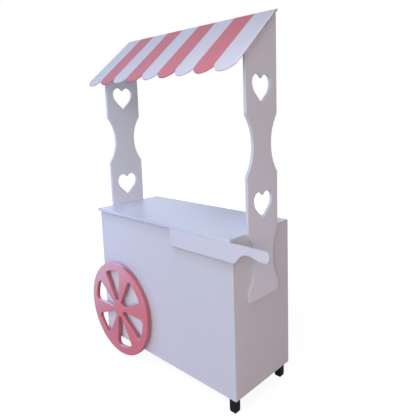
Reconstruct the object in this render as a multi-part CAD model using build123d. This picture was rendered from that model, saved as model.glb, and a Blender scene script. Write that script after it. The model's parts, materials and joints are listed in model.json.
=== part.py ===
from build123d import *
import os
from math import acos, asin, atan2, cos, hypot, pi, radians, sin, sqrt, tan

# A free-standing vending cart in painted board: an open-backed cabinet under a countertop, two shaped
# uprights that carry a sloping scalloped canopy, a push handle, and a large wheel on the front.
# Sizes are in millimetres. X runs along the counter from its middle, Y from the front panel's outer
# face to the back, and Z up from the floor. The last step moves the middle of the footprint to the origin.

os.makedirs("parts", exist_ok=True)

# Boards and their rounded edges
board = 18.0
canopy_thickness = 9.0
wheel_thickness = 26.0
panel_ease = 0.8

# Cabinet
cabinet_width = 1200.0
cabinet_depth = 490.0
counter_height = 975.0
counter_overhang = 20.0
leg_height = 85.0
rail_height = 80.0
shelf_level = 500.0
shelf_depth = 420.0
shelf_play = 1.0
shelf_pin_radius = 2.5
shelf_pin_depth = 8.0
shelf_pin_reach = 9.0
shelf_pin_inset = 60.0

# Uprights: levels are counted from the top of the counter
upright_width = 258.0
tail_drop = 376.0
tail_round = 8.0
lower_waist = (-318.0, -5.0)
lower_waist_depth = 48.0
upper_waist = (298.0, 608.0)
upper_waist_depth = 54.0
waist_round = 12.0
heart_width = 155.0
heart_height = 147.0
heart_notch = 20.0
heart_side_round = 73.0
heart_tip_round = 6.0
heart_tips = (59.0, 663.0)

# Canopy: a flat board on the slanted tops of the uprights
canopy_rise = 1140.0
canopy_setback = 20.0
canopy_slope = 41.0
canopy_length = 489.0
canopy_overhang = 21.0
stripe_count = 9
scallop_drop = 56.0
cleat_side = 22.0
cleat_length = 230.0
cleat_from_back = 40.0

# Push handle on the front panel, under the countertop
handle_height = 103.0
handle_overlap = 459.0
handle_reach = 236.5
handle_corner = 8.0
shoulder_reach = 26.0
shoulder_round = 38.0
hollow_reach = 80.0
hollow_top = 31.0
hollow_round = 78.0
bulb_reach = 182.0
bulb_height = 59.0
bulb_heel_round = 55.0
bulb_toe_round = 28.0
bulb_top_round = 28.0

# Wheel
wheel_radius = 313.5
wheel_floor_gap = 2.5
wheel_from_left = 207.5
wheel_gap = 18.0
rim_width = 54.0
opening_count = 6
opening_turn = 42.0
opening_half_angle = 18.7
opening_apex = 9.0
opening_start = 55.0
opening_outer_round = 22.0
opening_inner_round = 10.0

# Axle, boss and bush
axle_radius = 6.0
axle_tip = 3.0
flange_radius = 45.0
flange_thickness = 3.0
flange_screw_circle = 35.5
flange_screw_count = 3
boss_radius = 30.0
bush_radius = 9.0
bush_proud = 1.0
locknut_across_flats = 19.0
locknut_height = 10.0
running_gap = 0.05
end_play = 0.3

# Legs and levelling feet
leg_side = 41.0
leg_wall = 3.0
leg_side_inset = 20.0
leg_front_inset = 14.0
leg_back_inset = 20.0
leg_flange = 4.0
leg_flange_reach = 24.0
leg_web_level = 38.0
leg_web = 8.0
stem_radius = 4.0
stem_top = 62.0
pad_side = 39.0
pad_height = 8.0
pad_ease = 2.0

# Fixings: their round parts are prisms with few sides
fit_gap = 0.1
fixing_sides = 8
block_side = 22.0
block_length = 80.0
block_inset = 90.0
insert_radius = 6.0
insert_length = 13.0
bolt_radius = 3.0
bolt_head_radius = 8.5
bolt_head_height = 2.5
bolt_places = ((-55.0, 60.0), (55.0, 60.0), (0.0, 325.0))
screw_radius = 2.0
screw_head_radius = 3.75
screw_head_height = 2.2
screw_bite = 12.0
canopy_screw_bite = 7.0

# Places worked out from the sizes above
half_width = cabinet_width / 2
side_inner = half_width - board
counter_under = counter_height - board
floor_top = leg_height + board
back_inner = cabinet_depth - board
upright_middle = (cabinet_depth - counter_overhang) / 2
canopy_back = upright_middle + upright_width / 2 - canopy_setback
canopy_top = counter_height + canopy_rise
canopy_half = half_width + board + canopy_overhang
stripe_width = 2 * canopy_half / stripe_count
handle_under = counter_under - handle_height
handle_middle = counter_under - handle_height / 2
wheel_x = -half_width + wheel_from_left
wheel_z = wheel_radius + wheel_floor_gap
wheel_back = -wheel_gap
wheel_front = wheel_back - wheel_thickness
flange_back = wheel_back + flange_thickness
boss_front = flange_back + end_play
bush_back = board + bush_proud
nut_front = bush_back + end_play
axle_end = nut_front + locknut_height + axle_tip
sides = {"left": -1, "right": 1}

# The canopy's own plane: x along the counter, y up the slope, z out of its top face
canopy_normal = Vector(0, -sin(radians(canopy_slope)), cos(radians(canopy_slope)))
up_slope = Vector(0, cos(radians(canopy_slope)), sin(radians(canopy_slope)))
canopy_edge = Vector(0, canopy_back, canopy_top)
canopy_plane = Plane(origin=canopy_edge, x_dir=(1, 0, 0), z_dir=canopy_normal)


def block(x, y, z):
    """A box between pairs of limits."""
    middle = Pos(sum(x) / 2, sum(y) / 2, sum(z) / 2)
    return middle * Box(x[1] - x[0], y[1] - y[0], z[1] - z[0])


def panel(x, y, z):
    """A board with its edges eased."""
    plain = block(x, y, z)
    return chamfer(plain.edges(), panel_ease)


def rod(start, direction, radius, length):
    """A cylinder that runs from a point along a direction."""
    frame = Plane(origin=start, z_dir=direction)
    return frame * Cylinder(radius, length, align=(Align.CENTER, Align.CENTER, Align.MIN))


def peg(start, direction, radius, length):
    """The round part of a small fixing, as a prism from a point along a direction."""
    frame = Plane(origin=start, z_dir=direction)
    return extrude(frame * RegularPolygon(radius, fixing_sides), amount=length)


def screw(seat, direction, length):
    """A pan-head screw: its head stands on the seat and its shank goes in along the direction."""
    shank = peg(seat, direction, screw_radius, length)
    head = peg(seat, -direction, screw_head_radius, screw_head_height)
    return shank + head


def screw_hole(seat, direction, length):
    """The hole for a screw's shank."""
    return peg(seat, direction, screw_radius + fit_gap, length)


def outward(side):
    """The direction out of the cabinet's left or right end."""
    return Vector(sides[side], 0, 0)


def span(side, near, far):
    """Limits along X from two distances on one side of the middle."""
    return tuple(sorted((sides[side] * near, sides[side] * far)))


def carcass():
    """The cabinet's boards: ends, front, base, divider, rear rail, shelves and countertop."""
    boards = {}
    standing = (leg_height, counter_under)
    boards["countertop"] = panel(
        (-half_width, half_width), (-counter_overhang, cabinet_depth), (counter_under, counter_height)
    )
    boards["front_panel"] = panel((-half_width, half_width), (0, board), standing)
    boards["base_panel"] = panel((-side_inner, side_inner), (board, cabinet_depth), (leg_height, floor_top))
    boards["centre_divider"] = panel(
        (-board / 2, board / 2), (board, back_inner), (floor_top, counter_under)
    )
    boards["rear_rail"] = panel(
        (-side_inner, side_inner), (back_inner, cabinet_depth), (counter_under - rail_height, counter_under)
    )
    for side in sides:
        boards[side + "_side_panel"] = panel(
            span(side, side_inner, half_width), (board, cabinet_depth), standing
        )
        boards[side + "_shelf"] = panel(
            span(side, board / 2 + shelf_play, side_inner - shelf_play),
            (board + shelf_play, board + shelf_play + shelf_depth),
            (shelf_level, shelf_level + board),
        )
    return boards


def corner_blocks():
    """Glue blocks in the inner corners, which hold the cabinet's boards together."""
    low = (floor_top, floor_top + block_side)
    high = (counter_under - block_side, counter_under)
    behind_front = (board, board + block_side)
    depths = [(middle - block_length / 2, middle + block_length / 2)
              for middle in (board + block_inset, back_inner - block_inset)]
    levels = [(middle - block_length / 2, middle + block_length / 2)
              for middle in (floor_top + 2 * block_inset, counter_under - 2 * block_inset)]
    blocks = []
    for side in sides:
        by_wall = span(side, side_inner - block_side, side_inner)
        half_bay = half_width / 2
        by_front = span(side, half_bay - block_length / 2, half_bay + block_length / 2)
        blocks += [block(by_wall, depth, level) for depth in depths for level in (low, high)]
        blocks += [block(by_front, behind_front, level) for level in (low, high)]
        blocks += [block(by_wall, behind_front, level) for level in levels]
    by_divider = (board / 2, board / 2 + block_side)
    blocks += [block(by_divider, depth, level) for depth in depths for level in (low, high)]
    return {"corner_blocks": blocks}


def shelf_pins(boards):
    """Four pins under each shelf, in the cabinet's end and in the divider."""
    pins = []
    level = shelf_level - shelf_pin_radius
    first = board + shelf_play + shelf_pin_inset
    last = board + shelf_play + shelf_depth - shelf_pin_inset
    for side in sides:
        out = outward(side)
        ends = ((side + "_side_panel", side_inner, out), ("centre_divider", board / 2, -out))
        for holder, distance, direction in ends:
            for depth in (first, last):
                face = Vector(out.X * distance, depth, level)
                boards[holder] -= peg(face, direction, shelf_pin_radius + fit_gap, shelf_pin_depth)
                start = face - direction * shelf_pin_reach
                pins.append(peg(start, direction, shelf_pin_radius, shelf_pin_reach + shelf_pin_depth))
    return {"shelf_pins": pins}


def heart_half(side):
    """One side of a heart with its tip at the origin: a straight run, a full side and a round lobe."""
    half = heart_width / 2
    lobe = half + heart_notch - sqrt(2 * half * heart_notch)
    level = heart_height - lobe
    lobe_x, side_x = half - lobe, half - heart_side_round
    run_angle = atan2(level, side_x) - asin(heart_side_round / hypot(side_x, level))
    side_turn, notch_turn = run_angle - pi / 2, acos(-lobe_x / lobe)

    def about(x, radius, turn):
        return side * (x + radius * cos(turn)), level + radius * sin(turn)

    full = [about(side_x, heart_side_round, share * side_turn) for share in (1, 0.5, 0)]
    top = [about(lobe_x, lobe, share * notch_turn) for share in (0.5, 1)]
    return [Line((0, 0), full[0]), ThreePointArc(*full), ThreePointArc(full[2], *top)]


def heart():
    """A heart with its tip at the origin."""
    shape = make_face(Curve() + heart_half(-1) + heart_half(1))
    tip = shape.vertices().sort_by(Axis.Y)[0]
    return fillet(tip, heart_tip_round)


def upright_outline():
    """One upright seen from its end: x is the depth from its middle and y the height from the floor.

    Its top lies under the canopy, and behind the canopy it is cut off in line with the board's end.
    """
    half = upright_width / 2
    foot = counter_height - tail_drop
    lower = [counter_height + level for level in lower_waist]
    upper = [counter_height + level for level in upper_waist]
    slope = radians(canopy_slope)
    heel = canopy_back - upright_middle + canopy_thickness * sin(slope)
    heel_level = canopy_top - canopy_thickness * cos(slope)
    tops = {-1: heel_level - (heel + half) * tan(slope), 1: heel_level - (half - heel) / tan(slope)}
    lines = [
        Line((-half, foot), (half, foot)),
        Line((-half, tops[-1]), (heel, heel_level)),
        Line((heel, heel_level), (half, tops[1])),
    ]
    for edge in (-1, 1):
        x = edge * half
        lower_mid = (edge * (half - lower_waist_depth), sum(lower) / 2)
        upper_mid = (edge * (half - upper_waist_depth), sum(upper) / 2)
        lines.append(Line((x, foot), (x, lower[0])))
        lines.append(ThreePointArc((x, lower[0]), lower_mid, (x, lower[1])))
        lines.append(Line((x, lower[1]), (x, upper[0])))
        lines.append(ThreePointArc((x, upper[0]), upper_mid, (x, upper[1])))
        lines.append(Line((x, upper[1]), (x, tops[edge])))
    outline = make_face(Curve() + lines)
    corners = [corner for corner in outline.vertices() if corner.Y < foot + 1]
    outline = fillet(corners, tail_round)
    levels = lower + upper
    corners = [v for v in outline.vertices() if min(abs(v.Y - level) for level in levels) < 0.01]
    outline = fillet(corners, waist_round)
    for tip in heart_tips:
        outline -= Pos(0, counter_height + tip) * heart()
    return outline


def upright(side):
    """A shaped board that stands against the outside of the cabinet's end."""
    start = min(span(side, half_width, half_width + board))
    frame = Plane(origin=(start, upright_middle, 0), x_dir=(0, 1, 0), z_dir=(1, 0, 0))
    return extrude(frame * upright_outline(), amount=board)


def upright_fixings(pieces):
    """Bolts from inside the cabinet into threaded inserts, so that the outside stays plain."""
    inserts, bolts = [], []
    for side in sides:
        out = outward(side)
        for offset, drop in bolt_places:
            place = Vector(0, upright_middle + offset, counter_height - drop)
            wall = place + out * side_inner
            socket = place + out * half_width
            pieces[side + "_side_panel"] -= peg(wall, out, bolt_radius + fit_gap, board)
            pieces[side + "_upright"] -= peg(socket, out, insert_radius + fit_gap, insert_length)
            bore = peg(socket, out, bolt_radius + fit_gap, insert_length)
            inserts.append(peg(socket, out, insert_radius, insert_length) - bore)
            head = peg(wall, -out, bolt_head_radius, bolt_head_height)
            bolts.append(peg(wall, out, bolt_radius, board + insert_length) + head)
    return {"upright_inserts": inserts, "upright_bolts": bolts}


def canopy():
    """The sloping board, with one scallop at the foot of each stripe."""
    cusp = scallop_drop - canopy_length
    lines = [
        Line((-canopy_half, cusp), (-canopy_half, 0)),
        Line((-canopy_half, 0), (canopy_half, 0)),
        Line((canopy_half, 0), (canopy_half, cusp)),
    ]
    for index in range(stripe_count):
        left = -canopy_half + index * stripe_width
        right = left + stripe_width
        lowest = ((left + right) / 2, -canopy_length)
        lines.append(ThreePointArc((left, cusp), lowest, (right, cusp)))
    outline = make_face(Curve() + lines)
    return extrude(canopy_plane * outline, amount=-canopy_thickness)


def canopy_point(x, from_back, below):
    """A point given along the counter, down the slope and below the canopy's top face."""
    return canopy_edge + Vector(x, 0, 0) - up_slope * from_back - canopy_normal * below


def cleat(side):
    """A batten under the canopy, along the inner face of an upright."""
    x = span(side, half_width - cleat_side, half_width)
    y = (-cleat_from_back - cleat_length, -cleat_from_back)
    z = (-canopy_thickness - cleat_side, -canopy_thickness)
    plain = canopy_plane * block(x, y, z)
    return chamfer(plain.edges(), panel_ease)


def canopy_fixings(pieces):
    """Screws through each cleat into its upright, and up through it into the canopy."""
    into_upright, into_canopy = [], []
    middle_depth = canopy_thickness + cleat_side / 2
    underside = canopy_thickness + cleat_side
    for side in sides:
        out = outward(side)
        middle_x = out.X * (half_width - cleat_side / 2)
        inner_x = out.X * (half_width - cleat_side)
        for share in (0.25, 0.75):
            seat = canopy_point(inner_x, cleat_from_back + share * cleat_length, middle_depth)
            length = cleat_side + screw_bite
            hole = screw_hole(seat, out, length)
            pieces[side + "_cleat"] -= hole
            pieces[side + "_upright"] -= hole
            into_upright.append(screw(seat, out, length))
        for share in (0.1, 0.9):
            seat = canopy_point(middle_x, cleat_from_back + share * cleat_length, underside)
            length = cleat_side + canopy_screw_bite
            hole = screw_hole(seat, canopy_normal, length)
            pieces[side + "_cleat"] -= hole
            pieces["canopy_board"] -= hole
            into_canopy.append(screw(seat, canopy_normal, length))
    return {"cleat_screws": into_upright, "canopy_screws": into_canopy}


def handle():
    """The handle board: a straight stretch on the front panel, a finger hollow and a rounded bulb."""
    left, end = half_width - handle_overlap, half_width + handle_reach
    bulb_under = counter_under - bulb_height
    corners = (
        (left, handle_under),
        (half_width + shoulder_reach, handle_under),
        (half_width + hollow_reach, counter_under - hollow_top),
        (half_width + bulb_reach, bulb_under),
        (end, bulb_under),
        (end, counter_under),
        (left, counter_under),
    )
    rounds = (
        handle_corner, shoulder_round, hollow_round, bulb_heel_round, bulb_toe_round, bulb_top_round,
        handle_corner,
    )
    outline = make_face(FilletPolyline(*corners, radius=rounds, close=True))
    frame = Plane(origin=(0, 0, 0), x_dir=(1, 0, 0), z_dir=(0, -1, 0))
    return extrude(frame * outline, amount=board)


def handle_fixings(pieces):
    """Screws from inside the front panel into the handle board."""
    screws = []
    inset = handle_overlap / 8
    length = board + screw_bite
    front = Vector(0, -1, 0)
    for share in (0, 0.5, 1):
        from_end = inset + share * (handle_overlap - 2 * inset)
        seat = Vector(half_width - from_end, board, handle_middle)
        hole = screw_hole(seat, front, length)
        pieces["front_panel"] -= hole
        pieces["handle_board"] -= hole
        screws.append(screw(seat, front, length))
    return {"handle_screws": screws}


def wheel():
    """A flat wheel with rounded wedge openings, which leave spokes that widen to the rim."""
    rim = wheel_radius - rim_width
    spread = radians(opening_half_angle)
    far = (wheel_radius - opening_apex) / cos(spread)
    edges = [(opening_apex + far * cos(a), far * sin(a)) for a in (-spread, spread)]
    wedge = make_face(Polyline((opening_apex, 0), *edges, close=True))
    wedge = (wedge & Circle(rim)) - Circle(opening_start)
    by_reach = sorted(wedge.vertices(), key=lambda corner: hypot(corner.X, corner.Y))
    wedge = fillet(by_reach[2:], opening_outer_round)
    by_reach = sorted(wedge.vertices(), key=lambda corner: hypot(corner.X, corner.Y))
    wedge = fillet(by_reach[:2], opening_inner_round)
    disc = Sketch() + Circle(wheel_radius)
    for index in range(opening_count):
        disc -= Rot(0, 0, opening_turn + index * 360 / opening_count) * wedge
    frame = Plane(origin=(wheel_x, wheel_back, wheel_z), x_dir=(1, 0, 0), z_dir=(0, -1, 0))
    return extrude(frame * disc, amount=wheel_thickness)


def on_axle(depth, radius=0.0, angle=0.0):
    """A point about the wheel's axle, at a depth from the front panel's outer face."""
    return Vector(wheel_x + radius * cos(angle), depth, wheel_z + radius * sin(angle))


def axle_rod(start, end, radius):
    """A cylinder on the wheel's axle between two depths."""
    return rod(on_axle(start), Vector(0, 1, 0), radius, end - start)


def axle_parts(pieces):
    """The axle on its flange, and what carries and keeps it: boss, bush and lock nut."""
    bush_seat = axle_rod(boss_front, board, bush_radius + fit_gap)
    bush_bore = axle_rod(boss_front, bush_back, axle_radius + running_gap)
    pieces["front_panel"] -= bush_seat
    flange = axle_rod(wheel_back, flange_back, flange_radius)
    pieces["wheel_axle"] = flange + axle_rod(flange_back, axle_end, axle_radius)
    pieces["hub_boss"] = axle_rod(boss_front, 0, boss_radius) - bush_seat
    pieces["axle_bush"] = axle_rod(boss_front, bush_back, bush_radius) - bush_bore
    frame = Plane(origin=on_axle(nut_front), x_dir=(1, 0, 0), z_dir=(0, 1, 0))
    hexagon = RegularPolygon(locknut_across_flats / 2, 6, major_radius=False)
    nut_bore = axle_rod(nut_front, axle_end, axle_radius + fit_gap)
    pieces["axle_locknut"] = extrude(frame * hexagon, amount=locknut_height) - nut_bore


def flange_fixings(pieces):
    """Screws that hold the axle's flange to the wheel."""
    screws = []
    front = Vector(0, -1, 0)
    length = flange_thickness + screw_bite
    for index in range(flange_screw_count):
        turn = radians(opening_turn + 30 + index * 360 / flange_screw_count)
        seat = on_axle(flange_back, flange_screw_circle, turn)
        hole = screw_hole(seat, front, length)
        pieces["wheel"] -= hole
        pieces["wheel_axle"] -= hole
        screws.append(screw(seat, front, length))
    return {"flange_screws": screws}


def leg_corner(name):
    """The outer corner of a leg, and the directions from it into the cabinet's plan."""
    depth, side = name.split("_")
    into_x = -sides[side]
    into_y = 1 if depth == "front" else -1
    y = leg_front_inset if depth == "front" else cabinet_depth - leg_back_inset
    return sides[side] * (half_width - leg_side_inset), y, into_x, into_y


def corner_block(corner, start, end, z):
    """A square block between two distances in from a leg's outer corner."""
    x, y, into_x, into_y = corner
    x_limits = sorted((x + into_x * start, x + into_x * end))
    y_limits = sorted((y + into_y * start, y + into_y * end))
    return block(x_limits, y_limits, z)


def leg(corner):
    """A hollow square leg with a web for the levelling screw and a flange that turns inwards."""
    tube = corner_block(corner, 0, leg_side, (pad_height, leg_height))
    tube = chamfer(tube.edges().filter_by(Axis.Z), panel_ease)
    reach = leg_side + leg_flange_reach
    tube += corner_block(corner, 0, reach, (leg_height - leg_flange, leg_height))
    inner = leg_side - leg_wall
    web_top = leg_web_level + leg_web
    tube -= corner_block(corner, leg_wall, inner, (pad_height, leg_web_level))
    tube -= corner_block(corner, leg_wall, inner, (web_top, leg_height))
    return tube


def leg_axis(corner, level):
    """A point on a leg's upright middle line."""
    x, y, into_x, into_y = corner
    return Vector(x + into_x * leg_side / 2, y + into_y * leg_side / 2, level)


def leg_parts(pieces):
    """Four legs, each with a levelling foot in its web and screws up into the base."""
    screws = []
    up = Vector(0, 0, 1)
    strip = leg_side + leg_flange_reach / 2
    for name in ("front_left", "front_right", "rear_left", "rear_right"):
        corner = leg_corner(name)
        x, y, into_x, into_y = corner
        body = leg(corner)
        body -= rod(leg_axis(corner, leg_web_level), up, stem_radius + running_gap, leg_web)
        inset = (leg_side - pad_side) / 2
        pad = corner_block(corner, inset, leg_side - inset, (0, pad_height))
        pad = chamfer(pad.edges().filter_by(Axis.Z), pad_ease)
        pieces[name + "_leveller"] = pad + rod(
            leg_axis(corner, pad_height), up, stem_radius, stem_top - pad_height
        )
        for along_x, along_y in ((strip, leg_side / 2), (leg_side / 2, strip)):
            seat = Vector(x + into_x * along_x, y + into_y * along_y, leg_height - leg_flange)
            length = leg_flange + screw_bite
            hole = screw_hole(seat, up, length)
            body -= hole
            pieces["base_panel"] -= hole
            screws.append(screw(seat, up, length))
        pieces[name + "_leg"] = body
    return {"leg_screws": screws}


def save(node, shapes, home):
    """Write one node: a single solid, or a group of like fasteners."""
    solids = [home * solid for shape in shapes for solid in shape.solids()]
    export_step(Compound(solids), f"parts/{node}.step")


# Boards and shaped pieces
pieces = carcass()
groups = {}
for side in sides:
    pieces[side + "_upright"] = upright(side)
    pieces[side + "_cleat"] = cleat(side)
pieces["canopy_board"] = canopy()
pieces["handle_board"] = handle()
pieces["wheel"] = wheel()

# Running gear, feet and fixings
axle_parts(pieces)
groups.update(corner_blocks())
groups.update(shelf_pins(pieces))
groups.update(upright_fixings(pieces))
groups.update(canopy_fixings(pieces))
groups.update(handle_fixings(pieces))
groups.update(flange_fixings(pieces))
groups.update(leg_parts(pieces))

# The origin lies on the floor, under the middle of the whole cart's outline
middle_x = (wheel_x - wheel_radius + half_width + handle_reach) / 2
middle_y = (wheel_front + cabinet_depth) / 2
home = Pos(-middle_x, -middle_y, 0)
for node, piece in pieces.items():
    save(node, [piece], home)
for node, members in groups.items():
    save(node, members, home)
print(len(pieces) + len(groups), "nodes; origin at", round(middle_x, 3), round(middle_y, 3))
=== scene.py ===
# %% [markdown]
# # A painted vending cart
#
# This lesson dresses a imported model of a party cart: a white cabinet on four black feet, two shaped
# uprights with heart cut-outs, a striped canopy with a scalloped edge, a push handle and a pink
# wheel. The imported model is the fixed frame: it says where every piece is and how it moves. Each step
# below gives one of its nodes a finish or puts a finer mesh in its place.

# %% Load the frame
import json
import math

import bmesh
import bpy
from mathutils import Euler, Matrix, Vector


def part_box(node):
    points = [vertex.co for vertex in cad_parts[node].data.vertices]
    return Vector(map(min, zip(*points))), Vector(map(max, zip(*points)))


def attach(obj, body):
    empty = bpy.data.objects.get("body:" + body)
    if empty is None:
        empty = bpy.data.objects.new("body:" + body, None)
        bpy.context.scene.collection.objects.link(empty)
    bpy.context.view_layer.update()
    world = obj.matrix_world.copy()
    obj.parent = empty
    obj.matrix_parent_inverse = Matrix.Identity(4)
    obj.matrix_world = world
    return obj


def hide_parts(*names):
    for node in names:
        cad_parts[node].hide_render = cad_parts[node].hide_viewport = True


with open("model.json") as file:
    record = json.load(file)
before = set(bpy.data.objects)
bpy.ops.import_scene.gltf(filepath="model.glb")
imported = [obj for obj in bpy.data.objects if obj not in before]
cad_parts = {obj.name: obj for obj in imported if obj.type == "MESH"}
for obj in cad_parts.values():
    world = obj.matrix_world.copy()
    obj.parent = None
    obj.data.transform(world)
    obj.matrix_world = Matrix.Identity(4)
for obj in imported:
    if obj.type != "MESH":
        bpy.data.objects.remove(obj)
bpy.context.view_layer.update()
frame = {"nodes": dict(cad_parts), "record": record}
nodes = frame["nodes"]
scene = bpy.context.scene

# %% [markdown]
# ## The camera
#
# The photograph was taken from the right of the front, at about head height, with the film plane
# shifted a little. A camera can be aimed by a constraint, but a fixed place and turn are simpler to
# repeat, so the values found from the cabinet's edges are set as they are.

# %% Camera
lens = bpy.data.cameras.new("photo_camera")
lens.sensor_width = 36.0
lens.lens = 36.3629
lens.shift_x = -0.03024
lens.shift_y = -0.08222
camera = bpy.data.objects.new("photo_camera", lens)
camera.location = (1.86801, -1.73477, 1.59313)
camera.rotation_euler = Euler([math.radians(turn) for turn in (81.8046, 1.5854, 42.5828)])
scene.collection.objects.link(camera)
scene.camera = camera
print("camera at", tuple(camera.location))

# %% [markdown]
# ## Shader maths in Python
#
# Finishes are small sums: a colour times a drift, a roughness plus a smear. Nodes can be wired by
# hand, but a sum is easier to read. A Wire stands for one output socket, and arithmetic on it adds
# Math nodes. A Nodes object owns a tree and adds every other kind of node with one method.


# %% Wires and trees
def operator(operation):
    """A Python operator that adds one Math node."""
    return lambda left, right: left.math(operation, left, right)


class Wire:
    """One output socket in a tree. Arithmetic on it adds Math nodes."""

    def __init__(self, tree, socket):
        self.tree, self.socket = tree, socket

    def math(self, operation, first, second=0.0):
        return self.tree.add("ShaderNodeMath", {0: first, 1: second}, operation=operation)

    __add__ = __radd__ = operator("ADD")
    __mul__ = __rmul__ = operator("MULTIPLY")
    __sub__, __truediv__, __gt__ = map(operator, ("SUBTRACT", "DIVIDE", "GREATER_THAN"))

    def __rsub__(self, other):
        return self.math("SUBTRACT", other, self)

    def __abs__(self):
        return self.math("ABSOLUTE", self)


class Nodes:
    """A node tree, emptied, with one method that adds any node."""

    def __init__(self, tree):
        self.tree = tree
        tree.nodes.clear()

    def fill(self, node, inputs):
        """Set or link a node's inputs."""
        for key, value in inputs.items():
            if isinstance(value, Wire):
                self.tree.links.new(value.socket, node.inputs[key])
            else:
                node.inputs[key].default_value = value

    def add(self, kind, inputs=None, out=0, **settings):
        """Add a node, apply its settings, fill its inputs, and return one output."""
        node = self.tree.nodes.new(kind)
        for key, value in settings.items():
            setattr(node, key, value)
        self.fill(node, inputs or {})
        return Wire(self, node.outputs[out]) if node.outputs else None

    def vector(self, operation, first, second=None, out="Vector"):
        """Arithmetic on places and directions."""
        inputs = {0: first} if second is None else {0: first, 1: second}
        return self.add("ShaderNodeVectorMath", inputs, out, operation=operation)


print("Wire and Nodes are ready")

# %% [markdown]
# ## A finish
#
# Every finish ends in one Principled shader. What is the same all over a surface is set on the
# shader's own sockets, and what varies (colour, roughness and relief) is linked to it. A finish reads
# the place in Object coordinates, and marks that a mesh carries as attributes.


# %% Finish
class Finish(Nodes):
    """A material that ends in one Principled shader."""

    def __init__(self, name, **constants):
        self.material = bpy.data.materials.new(name)
        self.material.use_nodes = True
        super().__init__(self.material.node_tree)
        self.constants = {key.replace("_", " "): value for key, value in constants.items()}
        self.place = self.add("ShaderNodeTexCoord", out="Object")

    def along(self, axis):
        """The place along X, Y or Z, in metres."""
        return self.add("ShaderNodeSeparateXYZ", {0: self.place}, out=axis)

    def towards(self, direction, place=None):
        """How far a place lies in a direction."""
        return self.vector("DOT_PRODUCT", place or self.place, direction, out="Value")

    def mark(self, name, out="Fac"):
        """A value that the mesh carries as an attribute."""
        return self.add("ShaderNodeAttribute", out=out, attribute_name=name)

    def noise(self, scale, detail=2.0, place=None):
        """Noise about zero, with features about 1/scale metres wide."""
        inputs = {"Vector": place or self.place, "Scale": scale, "Detail": detail}
        return self.add("ShaderNodeTexNoise", inputs) - 0.5

    def ramp(self, value, low, high):
        """0 at low, 1 at high, smooth between."""
        limits = {"Value": value, "From Min": low, "From Max": high}
        return self.add("ShaderNodeMapRange", limits, interpolation_type="SMOOTHSTEP")

    def blend(self, amount, first, second, how="MIX"):
        """A colour between two others."""
        inputs = {"Factor": amount, 6: first, 7: second}
        return self.add("ShaderNodeMix", inputs, out=2, data_type="RGBA", blend_type=how)

    def tone(self, colour, amount):
        """A colour made lighter or darker by a value near one."""
        return self.blend(1.0, colour, amount, "MULTIPLY")

    def surface(self, colour, rough, height, depth, strength):
        """End in the shader, with a colour, a roughness and a relief of a depth in metres."""
        bump = {"Height": height, "Distance": depth, "Strength": strength}
        varying = {"Base Color": colour, "Roughness": rough, "Normal": self.add("ShaderNodeBump", bump)}
        shader = self.add("ShaderNodeBsdfPrincipled", {**self.constants, **varying})
        self.add("ShaderNodeOutputMaterial", {"Surface": shader})
        return self.material


print("Finish is ready")

# %% [markdown]
# ## Satin paint on board
#
# The cart is cut from board, filled, sanded and sprayed. Close up, sprayed paint has a fine orange
# peel and a slight drift in gloss, and it is thinner and smoother over routed edges. The meshes below
# carry an attribute called edge, which is one along the rounded edges, so the finish can follow them.
# Another, called cut, is one on sawn sides, which each paint makes darker by its own amount: partly the
# board drinking the paint, partly painted shade. A negative amount paints them lighter, a painted
# highlight.

# %% Paint
BOARD_WHITE = (0.605, 0.587, 0.645, 1.0)
# the side panels' white is a lighter, warmer copy of the board white: painted light, for the warm light
# on the sides
WARM_LIT_SIDE_WHITE = (0.658, 0.63, 0.672, 1.0)
# a mauve grey: worn paint on rubbed edges, and painted shade on the uprights' low sawn edges
DUST_AND_SHADE = (0.46, 0.43, 0.43, 1.0)
PEEL_DEPTH = 0.00025
DUST_ON_EDGES = 0.16


def painted(name, colour_of, rough, shine, dull):
    """Paint with a roughness and a shine; colour_of gives the tree its colour before wear."""
    finish = Finish(name, IOR=1.47, Specular_IOR_Level=shine)
    edge, cut = finish.mark("edge"), finish.mark("cut")
    drift = finish.noise(1.6)
    mottle = finish.noise(24.0, detail=4.0)
    peel = finish.noise(420.0)
    rubbed = finish.ramp(finish.noise(60.0, detail=5.0) + edge * 0.35, 0.16, 0.42) * edge
    colour = finish.tone(colour_of(finish), 1.0 + drift * 0.05 + mottle * 0.025 - cut * dull)
    worn = finish.blend(rubbed * DUST_ON_EDGES, colour, DUST_AND_SHADE)
    rough = rough + mottle * 0.16 + drift * 0.08 - edge * 0.05
    return finish.surface(worn, rough, peel + mottle * 0.6, PEEL_DEPTH, strength=0.35)


board_paint = painted("board_paint", lambda finish: BOARD_WHITE, rough=0.40, shine=0.6, dull=0.0)
end_paint = painted("end_paint", lambda finish: WARM_LIT_SIDE_WHITE, rough=0.42, shine=0.5, dull=0.15)
print("paints:", board_paint.name, end_paint.name)

# %% [markdown]
# ## A counter with painted light
#
# The counter's middle is painted darker and its two ends lighter, painted shade and painted light that
# even out the light along it. The distance from the middle, as a share of half the length, blends the
# two whites.

# %% Counter paint
# painted light at the ends and painted shade in the middle
LIT_END_COUNTER = (0.626, 0.641, 0.722, 1.0)
SHADED_MIDDLE_COUNTER = (0.547, 0.564, 0.665, 1.0)
counter_low, counter_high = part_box("countertop")
counter_middle = (counter_low.x + counter_high.x) / 2


def from_middle(finish):
    """How far a point is from the middle of the counter's length."""
    return abs(finish.along("X") - counter_middle)


def shaded_middle_white(finish):
    """Counter white, painted darker in the middle of its length and lighter at the ends."""
    ends = finish.ramp(from_middle(finish), 0.0, counter_high.x - counter_middle)
    return finish.blend(ends, SHADED_MIDDLE_COUNTER, LIT_END_COUNTER)


counter_paint = painted("counter_paint", shaded_middle_white, rough=0.46, shine=0.35, dull=0.02)
print("counter's middle at x", round(counter_middle, 4))
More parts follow.
